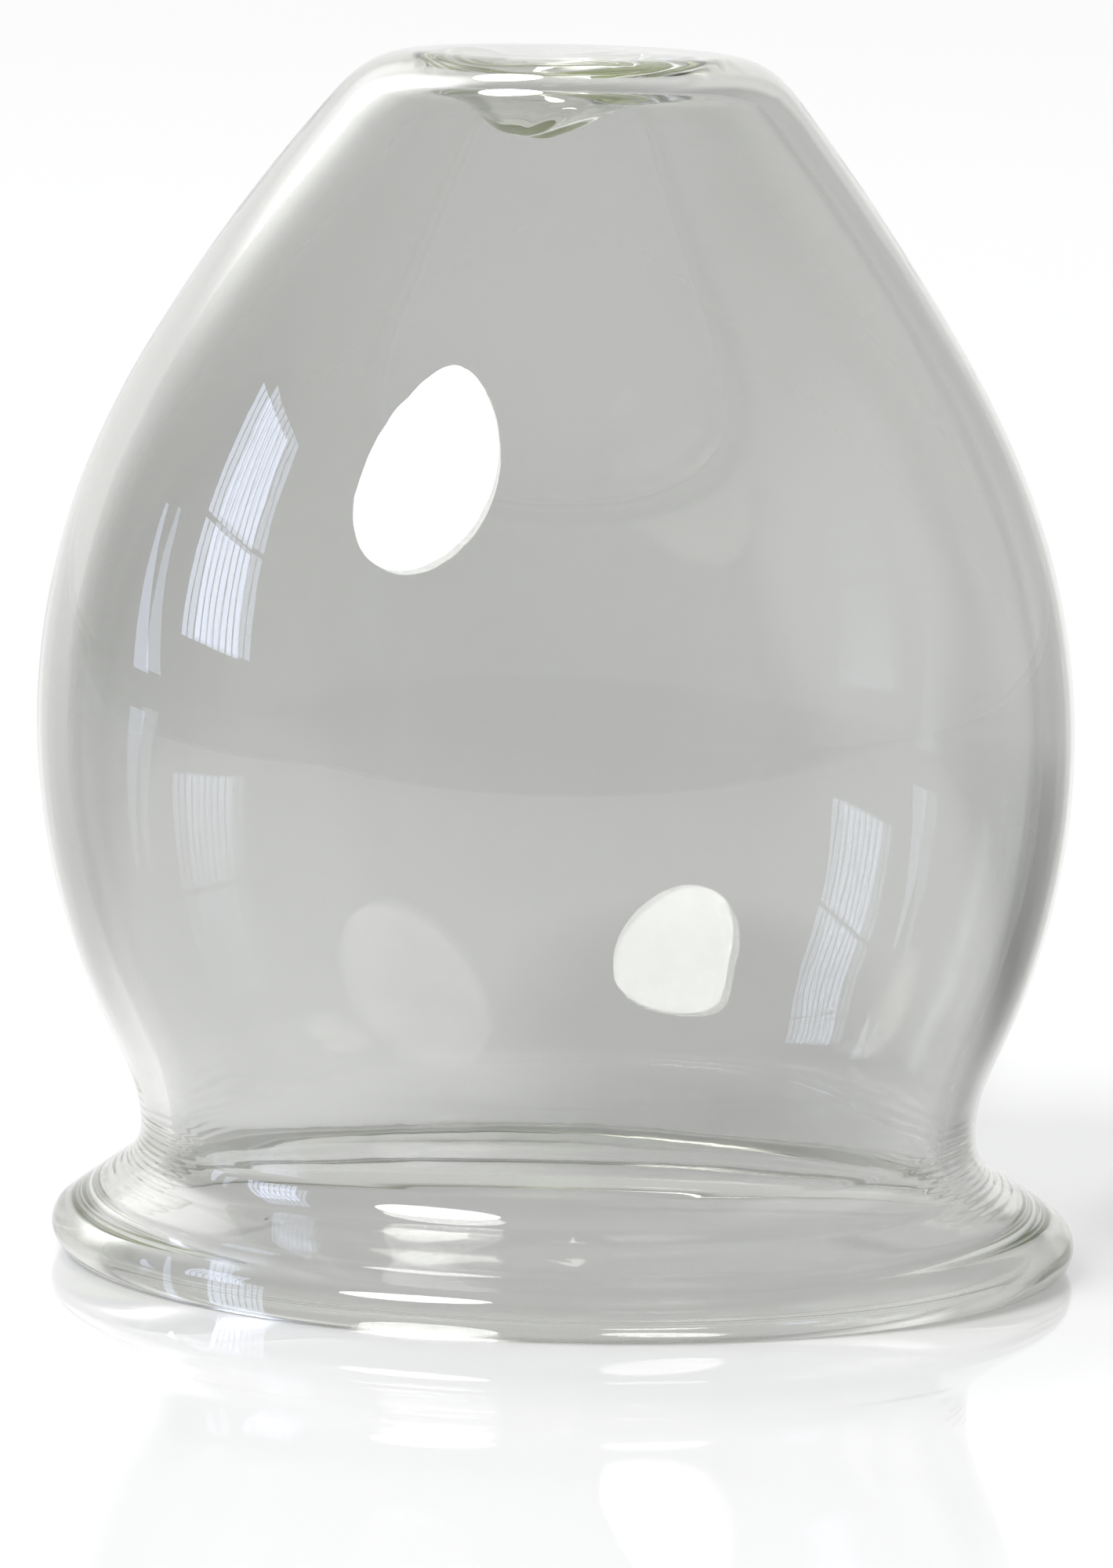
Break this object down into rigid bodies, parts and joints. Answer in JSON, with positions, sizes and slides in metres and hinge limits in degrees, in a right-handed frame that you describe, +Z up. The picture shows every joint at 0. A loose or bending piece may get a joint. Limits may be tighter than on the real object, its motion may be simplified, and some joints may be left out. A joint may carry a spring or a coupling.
{
  "type": "cupping glass",
  "caption": "Clear mouth-blown glass cup with a rounded belly, narrow neck, flared beaded lip and flat crown, standing mouth down; heated air in it draws up skin.",
  "frame": {"origin": "on the axis of the glass, in the plane of the table that its lip stands on", "axes": "+Z up along the axis, from the mouth to the crown; -X towards the side where the seal drop hangs"},
  "size_m": [0.0606, 0.0606, 0.0706],
  "materials": {
    "clear_glass": "clear, fire-polished, faint green-olive tint in the thick edges, fine tool ripples at the neck"
  },
  "bodies": {
    "root": {"lip_bead": "clear_glass", "lip_flare": "clear_glass", "neck_ring": "clear_glass", "belly_wall": "clear_glass", "flank_wall": "clear_glass", "shoulder_ring": "clear_glass", "crown_plate": "clear_glass", "seal_drop": "clear_glass"}
  },
  "joints": []
}
